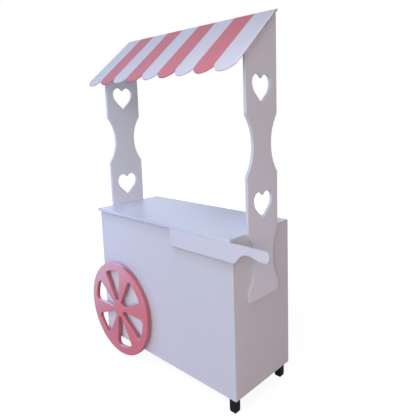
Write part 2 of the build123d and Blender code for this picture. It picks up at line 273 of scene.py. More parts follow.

# %% [markdown]
# ## Front panel
#
# The white is painted cooler and lighter away from the handle and warmer and darker towards it, painted
# light and shade, and lighter behind the wheel, a painted highlight over the wheel's shadow. Under the
# counter's overhang and under the handle, a soft mauve line is painted shadow. All this could be
# painted by hand, but a fade from a place that is read from the nodes stays right if they change.

# %% Front panel paint
SHADOW_MAUVE = (0.45, 0.39, 0.405, 1.0)
COOL_LIT_WHITE = (0.673, 0.637, 0.717, 1.0)
WARM_SHADED_WHITE = (0.551, 0.543, 0.574, 1.0)
LIT_BEHIND_WHEEL_WHITE = (0.733, 0.70, 0.757, 1.0)
TO_HANDLE, COOL_TO_WARM = (0.65, 0.0, 0.76), (-0.7, 1.4)
UNDER_COUNTER, UNDER_HANDLE, HANDLE_END = (-0.10, -0.015), (-0.10, -0.01), (-0.02, 0.05)
BEHIND_WHEEL = (1.0, 0.9)
handle_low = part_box("handle_board")[0]
wheel_low, wheel_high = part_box("wheel")
wheel_middle = (wheel_low + wheel_high) / 2
wheel_radius = wheel_high.x - wheel_middle.x


def from_hub(finish):
    """The place on the front, counted from the wheel's middle in wheel radii."""
    flat = (1.0 / wheel_radius, 0.0, 1.0 / wheel_radius)
    return finish.vector("MULTIPLY", finish.vector("SUBTRACT", finish.place, wheel_middle), flat)


def shaded_front_white(finish):
    """White painted warmer and darker towards the handle, lighter behind the wheel, with painted shadow
    under the ledges.
    """
    height = finish.along("Z")
    # painted light: cooler and lighter away from the handle, warmer and darker towards it
    warm_share = finish.ramp(finish.towards(TO_HANDLE), *COOL_TO_WARM)
    white = finish.blend(warm_share, COOL_LIT_WHITE, WARM_SHADED_WHITE)
    out = finish.vector("LENGTH", from_hub(finish), out="Value")
    # painted light: a lighter disc behind the wheel, over the wheel's shadow
    white = finish.blend(finish.ramp(out, *BEHIND_WHEEL), white, LIT_BEHIND_WHEEL_WHITE)
    # painted shadow under the counter's overhang and under the handle
    below_counter = finish.ramp(height - counter_low.z, *UNDER_COUNTER)
    below_handle = finish.ramp(height - handle_low.z, *UNDER_HANDLE)
    beside = finish.ramp(finish.along("X") - handle_low.x, *HANDLE_END)
    shade_share = height.math("MAXIMUM", below_counter, below_handle * beside * 1.3)
    return finish.blend(shade_share * (0.32 + finish.noise(14.0) * 0.16), white, SHADOW_MAUVE)


# a negative dull paints the panel's sawn ends lighter, a painted highlight
front_paint = painted("front_paint", shaded_front_white, rough=0.40, shine=0.6, dull=-0.12)
print("painted_shade below", round(counter_low.z, 3), "and", round(handle_low.z, 3), "m")

# %% [markdown]
# ## White uprights
#
# The uprights' white is painted darker towards the top and lighter low down, painted shade and light.
# Their inner faces are painted cooler, and a strip under the canopy is painted lighter, over the
# canopy's shadow. Low down, the sawn edges are painted darker, a painted shade. Height and the
# distances from the middle and from the canopy's slope tell these places apart, so the colour blends by
# them.

# %% Upright paint
# painted light and shade: darker high up, lighter low down, cooler inside, lighter under the canopy
SHADED_HIGH_WHITE = (0.665, 0.655, 0.71, 1.0)
COOL_LIT_INNER_WHITE = (0.66, 0.695, 0.77, 1.0)
LIT_LOW_WHITE = (0.755, 0.75, 0.825, 1.0)
LIT_UNDER_CANOPY_WHITE = (0.84, 0.88, 0.95, 1.0)
UPWARD_SHADE, INNER_FACE, LOW_DOWN, EDGE_SHADE = (1.65, 0.75), (0.006, 0.003), (0.02, -0.1), 0.46
LIT_INSIDE_SPAN, LIT_OUTSIDE_SPAN = (-0.12, 0.03), (-0.036, -0.010)
inner_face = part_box("right_upright")[0].x - counter_middle
canopy_low, canopy_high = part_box("canopy_board")
slope = math.radians(41.0)
canopy_normal = Vector((0.0, -math.sin(slope), math.cos(slope)))
upright_top = max(point.co.dot(canopy_normal) for point in nodes["right_upright"].data.vertices)


def upright_white(finish):
    """White painted darker high up and lighter under the canopy, with painted shade on the edges low
    down.
    """
    height = finish.along("Z")
    inner = finish.ramp(from_middle(finish) - inner_face, *INNER_FACE)
    high_white = finish.blend(inner, SHADED_HIGH_WHITE, COOL_LIT_INNER_WHITE)
    toned_white = finish.blend(finish.ramp(height, *UPWARD_SHADE), high_white, LIT_LOW_WHITE)
    lit_inside = finish.ramp(height - canopy_low.z, *LIT_INSIDE_SPAN)
    lit_outside = finish.ramp(finish.towards(canopy_normal) - upright_top, *LIT_OUTSIDE_SPAN)
    toned_white = finish.blend(lit_inside * inner + lit_outside * (1.0 - inner), toned_white, LIT_UNDER_CANOPY_WHITE)
    # painted shade on the sawn edges below the counter
    low_down = finish.ramp(height - counter_high.z, *LOW_DOWN)
    return finish.blend(finish.mark("cut") * low_down * EDGE_SHADE, toned_white, DUST_AND_SHADE)


# dull darkens the sawn edges: partly the board drinking the paint, partly painted shade
white_paint = painted("white_paint", upright_white, rough=0.42, shine=0.5, dull=0.2)
print("uprights are edge_shaded below", round(counter_high.z, 3), "m")

# %% [markdown]
# ## Pink paint on the wheel
#
# The wheel's pink is painted paler and cooler high on the left, a painted sheen, and paler low on the
# left, a painted highlight. Its sawn walls are painted deeper than its face, a painted shade, the back
# has only a thin coat, and a pale painted highlight lies along every ledge that looks up. The mesh
# carries that as an attribute called ledge, so the highlight turns with the wheel.

# %% Wheel paint
PINK = (0.675, 0.156, 0.193, 1.0)
# painted sheen, painted shade and painted highlight colours for the wheel
SHEEN_PINK = (0.70, 0.36, 0.43, 1.0)
SHADED_WALL_PINK = (0.49, 0.092, 0.117, 1.0)
THIN_PINK = (0.76, 0.47, 0.51, 1.0)
PALE_HIGHLIGHT = (0.85, 0.56, 0.73, 1.0)
SHEEN_SIDE, LIT_LOW_SIDE = (-0.669, 0.0, 0.743), (-0.5, 0.0, -0.866)
WHEEL_BACK, LEDGE_HIGHLIGHT, LOW_HIGHLIGHT = (-0.002, -0.0005), 0.75, 0.2


def sheened_pink(finish):
    """Pink with a painted sheen to the upper left, painted shade on sawn walls, thin behind, painted
    highlights on ledges.
    """
    place = from_hub(finish)
    # painted sheen high on the left and painted highlight low on the left
    sheened = finish.ramp(finish.towards(SHEEN_SIDE, place) + finish.noise(9.0) * 0.25, -0.15, 1.05)
    lit_low = finish.ramp(finish.towards(LIT_LOW_SIDE, place), 0.5, 1.0) * LOW_HIGHLIGHT
    face = finish.blend(sheened + lit_low, PINK, SHEEN_PINK)
    behind = finish.ramp(finish.along("Y") - wheel_high.y, *WHEEL_BACK)
    coat = finish.blend(behind, face, THIN_PINK)
    # painted shade: deeper pink on the sawn walls and bevels
    walled = finish.blend(finish.ramp(finish.mark("cut"), 0.0, 0.6), coat, SHADED_WALL_PINK)
    # painted highlight along the ledges that look up
    return finish.blend(finish.mark("ledge") * LEDGE_HIGHLIGHT, walled, PALE_HIGHLIGHT)


pink_paint = painted("pink_paint", sheened_pink, rough=0.34, shine=0.9, dull=0.0)
print("wheel paint:", pink_paint.name)

# %% [markdown]
# ## Stripes on the canopy
#
# The canopy's stripes are masked with tape and sprayed, each as wide as one scallop, and the paint goes
# round the cut edge. A mesh could carry a colour for each stripe, but a sum of the place along the
# board gives a crisp line at any distance. A little noise lets the paint creep under the tape. The pink
# is painted paler at the left, a painted sheen, the stripes are painted lighter towards the right and
# less so high up, as the light falls, and the right end is painted lighter, a painted highlight.

# %% Striped paint
STRIPE_WHITE = (0.635, 0.62, 0.67, 1.0)
LIT_END_WHITE = (0.92, 0.90, 0.96, 1.0)
STRIPE_PINK = (0.59, 0.19, 0.217, 1.0)
LEFT_SHEEN_PINK = (0.595, 0.232, 0.265, 1.0)
STRIPES, CREEP, RIGHT_END = 9, 0.0009, (-0.004, -0.001)
LEFT_TONE, RIGHT_GAIN, HIGH_LOSS = 0.88, 0.25, 0.32
canopy_size = canopy_high - canopy_low
stripe_width = canopy_size.x / STRIPES


def striped(finish):
    """White and pink by turns along the board, with painted light and sheen."""
    along = finish.along("X")
    rightwards = (along - canopy_low.x) / canopy_size.x
    upwards = (finish.along("Z") - canopy_low.z) / canopy_size.z
    # painted light: lighter towards the right, less so high up
    light_tone = LEFT_TONE + rightwards * (RIGHT_GAIN - upwards * HIGH_LOSS)
    # painted sheen: paler pink at the left
    pink = finish.blend(rightwards, LEFT_SHEEN_PINK, STRIPE_PINK)
    # painted highlight on the right end
    right_end = finish.ramp(along - canopy_high.x, *RIGHT_END)
    white = finish.blend(right_end, STRIPE_WHITE, LIT_END_WHITE)
    count = (along + finish.noise(260.0, detail=3.0) * CREEP - canopy_low.x) / stripe_width
    inside = finish.add("ShaderNodeClamp", {0: count, 1: 0.01, 2: STRIPES - 0.01})
    turn = inside.math("FRACT", inside / 2.0)
    return finish.tone(finish.blend(turn > 0.5, white, pink), light_tone)


striped_paint = painted("striped_paint", striped, rough=0.62, shine=0.15, dull=0.0)
print("stripes of", round(stripe_width * 1000, 1), "mm")

# %% [markdown]
# ## Moulded plastic, metal and bare wood
#
# The legs and feet are black mouldings with a fine spark-eroded grain. Fixings are zinc plated, with
# the faint cloudy colours of passivation. The bush is natural nylon, and the glue blocks inside the
# cabinet are sawn softwood, whose rings run along each block.


# %% Plastics
def moulded(name, colour, rough, shine):
    """Matte moulding with a fine grain."""
    finish = Finish(name, IOR=1.5, Specular_IOR_Level=shine)
    grain = finish.noise(1400.0)
    smear = finish.noise(45.0, detail=4.0)
    colour = finish.tone(colour, 1.0 + smear * 0.5 + grain * 0.3)
    return finish.surface(colour, rough + smear * 0.22, grain, depth=0.0002, strength=0.5)


black_plastic = moulded("black_plastic", (0.006, 0.006, 0.009, 1.0), rough=0.55, shine=0.25)
nylon = moulded("nylon", (0.78, 0.76, 0.70, 1.0), rough=0.42, shine=0.5)
print("plastics:", black_plastic.name, nylon.name)


# %% Metals
def plated(name, colour, tint, rough):
    """Bright metal with cloudy colour and fine turning marks."""
    finish = Finish(name, Metallic=1.0)
    cloud = finish.noise(120.0, detail=4.0)
    fine = finish.noise(2200.0)
    colour = finish.blend(finish.ramp(cloud, -0.2, 0.25), colour, tint)
    rough = rough + cloud * 0.2 + fine * 0.08
    return finish.surface(colour, rough, fine, depth=0.00008, strength=0.4)


zinc_steel = plated("zinc_steel", (0.60, 0.61, 0.64, 1.0), (0.66, 0.62, 0.54, 1.0), rough=0.30)
brass = plated("brass", (0.74, 0.55, 0.22, 1.0), (0.62, 0.44, 0.17, 1.0), rough=0.28)
print("metals:", zinc_steel.name, brass.name)

# %% Bare softwood
EARLY_WOOD = (0.68, 0.47, 0.27, 1.0)
LATE_WOOD = (0.46, 0.27, 0.13, 1.0)


def softwood(name):
    """Sawn softwood; the grain attribute holds each block's own lengthwise place."""
    finish = Finish(name, IOR=1.45)
    grain = finish.mark("grain", out="Vector")
    rings = finish.noise(90.0, detail=3.0, place=finish.vector("MULTIPLY", grain, (0.04, 1.0, 1.0)))
    fibre = finish.noise(900.0, place=finish.vector("MULTIPLY", grain, (0.03, 1.0, 1.0)))
    wood = finish.blend(finish.ramp(rings, -0.02, 0.16), EARLY_WOOD, LATE_WOOD)
    colour = finish.tone(wood, 1.0 + fibre * 0.35)
    height = fibre + rings * 0.5
    return finish.surface(colour, 0.68 + fibre * 0.2, height, depth=0.0004, strength=0.6)


bare_wood = softwood("bare_wood")
print("wood:", bare_wood.name)

# %% [markdown]
# ## Pieces and their edges
#
# A finished piece is a plain mesh at the origin that takes over from a node. The helper below looks up
# in the record which body the node rides on, and gives the mesh its finish. It shades the mesh smooth
# and weights the normals by face area, so that only the rounded edges catch the light.

# %% Finish a piece
bodies = frame["record"]["behaviour"]["bodies"]
body_of = {node: body for body, members in bodies.items() for node in members}


def add_piece(name, node, mesh, material):
    """Put a mesh in the scene in place of a node, on the node's body, with its finish."""
    mesh.name = name
    mesh.materials.clear()
    mesh.materials.append(material)
    mesh.polygons.foreach_set("use_smooth", [True] * len(mesh.polygons))
    piece = bpy.data.objects.new(name, mesh)
    scene.collection.objects.link(piece)
    normals = piece.modifiers.new("flat_faces", "WEIGHTED_NORMAL")
    normals.keep_sharp = True
    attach(piece, body_of[node])
    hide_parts(node)


# %% Meshes and their marks
def merged(mesh):
    """A copy of a mesh as a bmesh, with its doubles merged."""
    solid = bmesh.new()
    solid.from_mesh(mesh)
    bmesh.ops.remove_doubles(solid, verts=solid.verts, dist=1e-6)
    return solid


def as_mesh(name, solid):
    """Turn a bmesh into a mesh and let it go."""
    mesh = bpy.data.meshes.new(name)
    solid.to_mesh(mesh)
    solid.free()
    return mesh


def set_marks(mesh, key, values, domain="FACE"):
    """Give a mesh an attribute that a finish can read."""
    mesh.attributes.new(key, "FLOAT", domain).data.foreach_set("value", values)


def mark_edges(mesh, plain):
    """Set the edge attribute to one where no plain face meets a vertex."""
    marks = [1.0] * len(mesh.vertices)
    for face in mesh.polygons:
        if plain(face.normal):
            for index in face.vertices:
                marks[index] = 0.0
    set_marks(mesh, "edge", marks, "POINT")


# %% [markdown]
# ## Routed boards
#
# The uprights, handle, wheel and canopy are cut from board with a router, and a second pass rounds
# their edges. A Bevel modifier on a triangulated board gives uneven corners. A flat filled curve with
# holes has a bevel of its own that stays even, so each board's outline is read from its node, drawn
# as a curve and turned into a mesh.

# %% Outlines of a node
LEVEL_WITHIN = 1e-5


def outlines(node, normal):
    """The closed outlines of a node's outermost face along a normal, its level and the thickness."""
    solid = merged(nodes[node].data)
    heights = [point.co.dot(normal) for point in solid.verts]
    top, thickness = max(heights), max(heights) - min(heights)
    flat = [
        face for face in solid.faces
        if all(top - point.co.dot(normal) < LEVEL_WITHIN for point in face.verts)
    ]
    broad, following = set(flat), {}
    for face in flat:
        for loop in face.loops:
            if loop.link_loop_radial_next.face not in broad:
                following[loop.vert] = loop.link_loop_next.vert
    loops = []
    while following:
        points, point = [], next(iter(following))
        while point in following:
            points.append(point.co.copy())
            point = following.pop(point)
        loops.append(points)
    solid.free()
    return loops, top, thickness


print("wheel has", len(outlines("wheel", Vector((0, -1, 0)))[0]), "outlines")

# %% Cut walls and lit ledges
# ledges that face this way, up and a little to the left, get a painted highlight
SKYWARD = Vector((-0.09, 0.0, 1.0)).normalized()
LEDGE_FROM = 0.92


def mark_cuts(mesh, normal):
    """Mark the sawn walls of a board, and those that look up, which get a painted highlight."""
    cuts, ledges = [], []
    for face in mesh.polygons:
        sideways = face.normal - normal * face.normal.dot(normal)
        upward = max(sideways.normalized().dot(SKYWARD) - LEDGE_FROM, 0.0) / (1.0 - LEDGE_FROM)
        cuts.append(sideways.length)
        ledges.append(sideways.length * upward)
    set_marks(mesh, "cut", cuts)
    set_marks(mesh, "ledge", ledges)


print("painted_highlight lies within", round(math.degrees(math.acos(LEDGE_FROM))), "degrees of straight up")


# %% Board from outlines
def settled(holder):
    """The plain mesh that an object gives once its curve or modifiers are worked out."""
    scene.collection.objects.link(holder)
    result = holder.evaluated_get(bpy.context.evaluated_depsgraph_get())
    mesh = bpy.data.meshes.new_from_object(result)
    bpy.data.objects.remove(holder)
    return mesh


def filled_board(name, loops, thickness, radius):
    """A level board with evenly rounded edges, from outlines seen from above."""
    curve = bpy.data.curves.new(name, "CURVE")
    curve.dimensions, curve.fill_mode = "2D", "BOTH"
    curve.extrude, curve.bevel_depth = thickness / 2 - radius, radius
    curve.bevel_resolution, curve.offset = 3, -radius
    for points in loops:
        spline = curve.splines.new("POLY")
        spline.points.add(len(points) - 1)
        for target, point in zip(spline.points, points):
            target.co = (point.x, point.y, 0.0, 1.0)
        spline.use_cyclic_u = True
    return settled(bpy.data.objects.new(name, curve))


def routed_board(name, node, normal, radius, material):
    """A board with a node's outline, lying along its normal."""
    normal = Vector(normal).normalized()
    loops, top, thickness = outlines(node, normal)
    across = Vector((1, 0, 0)) if abs(normal.x) < 0.5 else Vector((0, 1, 0))
    turn = Matrix((across, normal.cross(across), normal))
    level = [[turn @ point for point in points] for points in loops]
    mesh = filled_board(name, level, thickness, radius)
    mesh.transform(Matrix.Translation(normal * (top - thickness / 2)) @ turn.transposed().to_4x4())
    solid = merged(mesh)
    bmesh.ops.recalc_face_normals(solid, faces=solid.faces)
    solid.to_mesh(mesh)
    solid.free()
    mark_edges(mesh, lambda facing: not 0.001 < abs(facing.dot(normal)) < 0.999)
    mark_cuts(mesh, normal)
    add_piece(name, node, mesh, material)
    print(name, len(loops), "outlines,", len(mesh.polygons), "faces")

# %% Uprights, handle, wheel and canopy
UPRIGHT_EDGE, HANDLE_EDGE, WHEEL_EDGE, CANOPY_EDGE = 0.0022, 0.0035, 0.0065, 0.0018
routed_board("upright_left", "left_upright", (-1, 0, 0), UPRIGHT_EDGE, white_paint)
routed_board("upright_right", "right_upright", (1, 0, 0), UPRIGHT_EDGE, white_paint)
routed_board("push_handle", "handle_board", (0, -1, 0), HANDLE_EDGE, board_paint)
routed_board("spoked_wheel", "wheel", (0, -1, 0), WHEEL_EDGE, pink_paint)
routed_board("scalloped_canopy", "canopy_board", canopy_normal, CANOPY_EDGE, striped_paint)

# %% [markdown]
# ## Cabinet boards
#
# The cabinet's boards are plain rectangles with sanded edges. A box with a real bevel is enough, and
# it keeps each board's faces in one piece. The holes in the nodes are all filled by fixings.


# %% Eased boxes
def eased_box(low, high, radius, segments=3):
    """A box with rounded edges, as a bmesh."""
    low, high = Vector(low), Vector(high)
    solid = bmesh.new()
    bmesh.ops.create_cube(solid, size=1.0)
    place = Matrix.Translation((low + high) / 2) @ Matrix.Diagonal((high - low).to_4d())
    bmesh.ops.transform(solid, matrix=place, verts=solid.verts)
    edges = solid.edges[:]
    bmesh.ops.bevel(solid, geom=edges, offset=radius, segments=segments, profile=0.5, affect="EDGES")
    return solid


def square_to_axes(normal):
    """Whether a face looks along X, Y or Z."""
    return max(abs(part) for part in normal) > 0.999


# %% Boards
BOARD_EDGE = 0.0016
boards = {
    "counter": ("countertop", counter_paint), "front": ("front_panel", front_paint),
    "base": ("base_panel", board_paint), "divider": ("centre_divider", board_paint),
    "rail": ("rear_rail", board_paint), "side_left": ("left_side_panel", end_paint),
    "side_right": ("right_side_panel", end_paint), "shelf_left": ("left_shelf", board_paint),
    "shelf_right": ("right_shelf", board_paint),
}
for name, (node, paint) in boards.items():
    low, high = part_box(node)
    mesh = as_mesh(name, eased_box(low, high, BOARD_EDGE))
    mark_edges(mesh, square_to_axes)
    thin = min(range(3), key=lambda axis: high[axis] - low[axis])
    set_marks(mesh, "cut", [1.0 - face.normal[thin] ** 2 for face in mesh.polygons])
    add_piece(name + "_board", node, mesh, paint)
print(len(boards), "cabinet boards")

# %% [markdown]
# ## Canopy battens
#
# A batten is screwed along the inside of each upright and carries the canopy, so it lies at the
# canopy's slope. The same eased box does, made level in the canopy's own directions and then turned.

# %% Battens
BATTEN_EDGE = 0.0015
upslope = Vector((0, math.cos(slope), math.sin(slope)))
canopy_turn = Matrix((Vector((1, 0, 0)), upslope, canopy_normal))


def extents(points):
    """The lowest and highest corner of some points."""
    low = Vector(min(point[axis] for point in points) for axis in range(3))
    high = Vector(max(point[axis] for point in points) for axis in range(3))
    return low, high


for side in ("left", "right"):
    points = [canopy_turn @ point.co for point in nodes[side + "_cleat"].data.vertices]
    mesh = as_mesh(side, eased_box(*extents(points), BATTEN_EDGE))
    mark_edges(mesh, square_to_axes)
    mesh.transform(canopy_turn.transposed().to_4x4())
    add_piece(side + "_batten", side + "_cleat", mesh, white_paint)
print("battens at", round(math.degrees(slope)), "degrees")

# %% [markdown]
# ## Glue blocks
#
# Short lengths of sawn softwood are glued into the cabinet's inner corners. They come in one node, so
# its islands are found first. Each block gets eased edges and its own grain attribute: the place
# along the block first, moved on from block to block so that no two have the same figure.


# %% Islands of a node
def islands(node):
    """The points of each separate solid in a node."""
    solid = merged(nodes[node].data)
    seen, groups = set(), []
    for first in solid.verts:
        group, waiting = [], [first]
        while waiting:
            point = waiting.pop()
            if point not in seen:
                seen.add(point)
                group.append(point.co.copy())
                waiting += [edge.other_vert(point) for edge in point.link_edges]
        if group:
            groups.append(group)
    solid.free()
    return groups


print("glue blocks:", len(islands("corner_blocks")))

# %% Blocks
BLOCK_EDGE, FIGURE_STEP = 0.0012, 0.37
blocks = bmesh.new()
grain_layer = blocks.verts.layers.float_vector.new("grain")
for index, points in enumerate(islands("corner_blocks")):
    low, high = extents(points)
    order = sorted(range(3), key=lambda axis: low[axis] - high[axis])
    single = eased_box(low, high, BLOCK_EDGE, segments=2)
    copies = {point: blocks.verts.new(point.co) for point in single.verts}
    for point, copy in copies.items():
        copy[grain_layer] = [point.co[axis] - low[axis] + FIGURE_STEP * index for axis in order]
    for face in single.faces:
        blocks.faces.new([copies[point] for point in face.verts])
    single.free()
mesh = as_mesh("glue_blocks", blocks)
add_piece("glue_blocks", "corner_blocks", mesh, bare_wood)
print("block faces:", len(mesh.polygons))

# %% [markdown]
# ## Lofted mouldings
#
# A square leg, a foot pad, a nut and a bush are all stacks of rings: the same number of points at
# each level, joined by faces. Writing the rings as (level, size) pairs keeps the steps, lips and
# rounded rims easy to read. A closed stack comes back to its first ring, and an open one is capped.

# %% Rings
SQUARE = ((1, 1), (-1, 1), (-1, -1), (1, -1))


def round_ring(count, radius, first=0.5):
    """A circle of points, the first one part of a step round."""
    turns = [2 * math.pi * (index + first) / count for index in range(count)]
    return [(radius * math.cos(turn), radius * math.sin(turn)) for turn in turns]


def square_ring(side, corner, steps=4):
    """A square of points with rounded corners."""
    flat, ring = side / 2 - corner, []
    for quarter, (x, y) in enumerate(SQUARE):
        for step in range(steps + 1):
            turn = math.pi / 2 * (quarter + step / steps)
            ring.append((x * flat + corner * math.cos(turn), y * flat + corner * math.sin(turn)))
    return ring


print("a square ring has", len(square_ring(0.04, 0.003)), "points")

# %% Lofts
CRISP = math.radians(38.0)


def loft(solid, rings, place, closed=False):
    """Join rings of (level, points) into a shell, turned and moved by a matrix."""
    rows = [[solid.verts.new(place @ Vector((x, y, level))) for x, y in ring] for level, ring in rings]
    pairs = list(zip(rows, rows[1:])) + ([(rows[-1], rows[0])] if closed else [])
    for lower, upper in pairs:
        for index in range(len(lower)):
            after = (index + 1) % len(lower)
            solid.faces.new((lower[index], lower[after], upper[after], upper[index]))
    if not closed:
        solid.faces.new(rows[0][::-1])
        solid.faces.new(rows[-1])


def take_in(solid, mesh):
    """Put a mesh's shells into a bmesh and let the mesh go."""
    solid.from_mesh(mesh)
    bpy.data.meshes.remove(mesh)


def lofted_piece(name, node, solid, material):
    """Turn shells into a piece with crisp corners."""
    bmesh.ops.recalc_face_normals(solid, faces=solid.faces)
    mesh = as_mesh(name, solid)
    mesh.set_sharp_from_angle(angle=CRISP)
    add_piece(name, node, mesh, material)


# %% [markdown]
# ## Legs
#
# Each leg is a moulded square tube with a flange that is screwed up into the base, and a web across
# the tube that the foot's stem turns in. The tube's lower end has a small rounded lip, as a moulding
# has so that it leaves the tool.

# %% Legs
LEGS = ("front_left", "front_right", "rear_left", "rear_right")
LEG_SIDE, LEG_WALL, OUTER_CORNER, INNER_CORNER = 0.041, 0.003, 0.0012, 0.0008
WEB_LOW, WEB_HIGH, WEB_HOLE = 0.038, 0.046, 0.00405
FLANGE, FLANGE_EDGE, INTO_FLANGE = 0.004, 0.0006, 0.0008
leg_low, leg_high = (corner.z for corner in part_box("front_left_leg"))
inner_side = LEG_SIDE - 2 * LEG_WALL
tube_top = leg_high - FLANGE + INTO_FLANGE
tube_outside = [(0.0, -0.0016), (0.0003, -0.0007), (0.001, 0.0), (tube_top - leg_low, 0.0)]
tube_inside = [(tube_top - leg_low, 0.0), (0.0006, 0.0), (0.0, 0.0008)]
tube = [(leg_low + rise, square_ring(LEG_SIDE + more, OUTER_CORNER)) for rise, more in tube_outside]
tube += [(leg_low + rise, square_ring(inner_side + more, INNER_CORNER)) for rise, more in tube_inside]
web = [(level, square_ring(inner_side, OUTER_CORNER)) for level in (WEB_LOW, WEB_HIGH)]
web += [(level, round_ring(len(web[0][1]), WEB_HOLE)) for level in (WEB_HIGH, WEB_LOW)]


def leg_axis(name):
    """A place on the floor, under the middle of a foot."""
    low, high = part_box(name + "_leveller")
    return Matrix.Translation(((low.x + high.x) / 2, (low.y + high.y) / 2, 0.0))


for name in LEGS:
    low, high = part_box(name + "_leg")
    solid = bmesh.new()
    for rings in (tube, web):
        loft(solid, rings, leg_axis(name), closed=True)
    flange = eased_box((low.x, low.y, high.z - FLANGE), high, FLANGE_EDGE, segments=2)
    take_in(solid, as_mesh("flange", flange))
    lofted_piece(name + "_square_leg", name + "_leg", solid, black_plastic)
print("legs stand", round((leg_high - leg_low) * 1000), "mm above their pads")

# %% [markdown]
# ## Threaded stems
#
# A foot's stem is moulded with its pad and has a coarse thread, which follows a path: a spiral.
# Geometry Nodes draws it, sweeps a small triangle along it and adds the core, so pitch and length are
# inputs that can be changed on the modifier. The four stems share one tree.


# %% A node group with named inputs
class Group(Nodes):
    """A Geometry Nodes tree with named inputs."""

    def __init__(self, name, **sockets):
        super().__init__(bpy.data.node_groups.new(name, "GeometryNodeTree"))
        new_socket = self.tree.interface.new_socket
        new_socket("Geometry", in_out="OUTPUT", socket_type="NodeSocketGeometry")
        for key, kind in {"Geometry": "Geometry", **sockets}.items():
            new_socket(key, in_out="INPUT", socket_type="NodeSocket" + kind)

    def input(self, key):
        return self.add("NodeGroupInput", out=key)

    def upward(self, height):
        """A place straight above the origin."""
        return self.add("ShaderNodeCombineXYZ", {2: height})

    def finish(self, wire):
        """End the tree in plain geometry with its material."""
        plain = self.add("GeometryNodeRealizeInstances", {0: wire})
        inputs = {0: plain, "Material": self.input("Material")}
        self.add("NodeGroupOutput", {0: self.add("GeometryNodeSetMaterial", inputs)})


def grown(group, mesh, **values):
    """Run a group on a mesh with its inputs set, and return the result as a plain mesh."""
    holder = bpy.data.objects.new(mesh.name, mesh)
    modifier = holder.modifiers.new("grow", "NODES")
    modifier.node_group = group.tree
    names = {item.name: item.identifier for item in group.tree.interface.items_tree}
    for key, value in values.items():
        modifier[names[key]] = value
    return settled(holder)


# %% Thread tree
STEM = {"Core": 0.0033, "Crest": 0.0039, "Pitch": 0.0015, "Length": 0.054}
thread = Group("threaded_stem", **{key: "Float" for key in STEM}, Material="Material")
core, crest, pitch, length = (thread.input(key) for key in STEM)
tooth = (crest - core) / 1.5
spiral = thread.add("GeometryNodeCurveSpiral", {
    "Resolution": 16, "Rotations": (length - pitch) / pitch, "Start Radius": core + tooth * 0.5,
    "End Radius": core + tooth * 0.5, "Height": length - pitch,
})
inputs = {0: spiral, "Translation": thread.upward(pitch * 0.5)}
spiral = thread.add("GeometryNodeTransform", inputs)
profile = thread.add("GeometryNodeCurvePrimitiveCircle", {"Resolution": 3, "Radius": tooth})
ridge = thread.add("GeometryNodeCurveToMesh", {0: spiral, 1: profile, "Fill Caps": True})
line = thread.add("GeometryNodeCurvePrimitiveLine", {"End": thread.upward(length)})
round_bar = thread.add("GeometryNodeCurvePrimitiveCircle", {"Resolution": 16, "Radius": core})
bar = thread.add("GeometryNodeCurveToMesh", {0: line, 1: round_bar, "Fill Caps": True})
both = thread.add("GeometryNodeJoinGeometry")
for shell in (ridge, bar):
    thread.fill(both.socket.node, {0: shell})
thread.finish(both)
stem = grown(thread, bpy.data.meshes.new("stem"), Material=black_plastic, **STEM)
print("a stem has", len(stem.polygons), "faces")

# %% [markdown]
# ## Levelling feet
#
# The pad is a square moulding that is a little smaller than the leg, with soft corners and rounded
# rims. The pad is lofted from rings that draw in at its rims, and the stem comes from the tree above.

# %% Feet
PAD_SIDE, PAD_CORNER, STEM_FOOT = 0.039, 0.0014, 0.0078
pad_rims = [
    (0.0, 0.0010), (0.0003, 0.0003), (0.0010, 0.0), (0.0070, 0.0), (0.0077, 0.0003), (0.0080, 0.0010)
]
pad = [(rise, square_ring(PAD_SIDE - 2 * inset, PAD_CORNER)) for rise, inset in pad_rims]
for name in LEGS:
    solid = bmesh.new()
    loft(solid, pad, leg_axis(name))
    threads = stem.copy()
    threads.transform(leg_axis(name) @ Matrix.Translation((0, 0, STEM_FOOT)))
    take_in(solid, threads)
    lofted_piece(name + "_pad", name + "_leveller", solid, black_plastic)
print("pads are", round(PAD_SIDE * 1000), "mm square")

# %% [markdown]
# ## Running gear
#
# The wheel is screwed to a flange on a short axle, which turns in a nylon bush. The bush is pressed
# through the front panel and a boss on its face, and a locknut holds the axle from inside. These are
# turned parts, so each is a stack of rings along the axle with small chamfers at its ends.

# %% Turned parts
TURNED, CHAMFER, BOSS_ROUND = 40, 0.0005, 0.0012
gear_low, gear_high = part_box("wheel_axle")
hub = Vector(((gear_low.x + gear_high.x) / 2, 0.0, (gear_low.z + gear_high.z) / 2))
along_axle = Matrix.Translation(hub) @ Matrix.Rotation(math.radians(-90.0), 4, "X")


def turned(name, node, material, rings, closed=False):
    """A turned part: (place along Y, radius) pairs, round the axle."""
    solid = bmesh.new()
    loft(solid, [(level, round_ring(TURNED, radius)) for level, radius in rings], along_axle, closed)
    lofted_piece(name, node, solid, material)


def rimmed(low, high, radius):
    """The rings of a cylinder with a chamfer at each rim."""
    small = radius - CHAMFER
    return [(low, small), (low + CHAMFER, radius), (high - CHAMFER, radius), (high, small)]


axle_low, axle_high = gear_low.y, gear_high.y
AXLE_RADIUS, FLANGE_RADIUS, FLANGE_THICK = 0.006, 0.045, 0.003
flange_top = axle_low + FLANGE_THICK
turned("flanged_axle", "wheel_axle", zinc_steel, rimmed(axle_low, flange_top, FLANGE_RADIUS) + [
    (flange_top, AXLE_RADIUS), (axle_high - 2 * CHAMFER, AXLE_RADIUS),
    (axle_high, AXLE_RADIUS - 2 * CHAMFER),
])
print("axle runs from", round(axle_low, 4), "to", round(axle_high, 4))

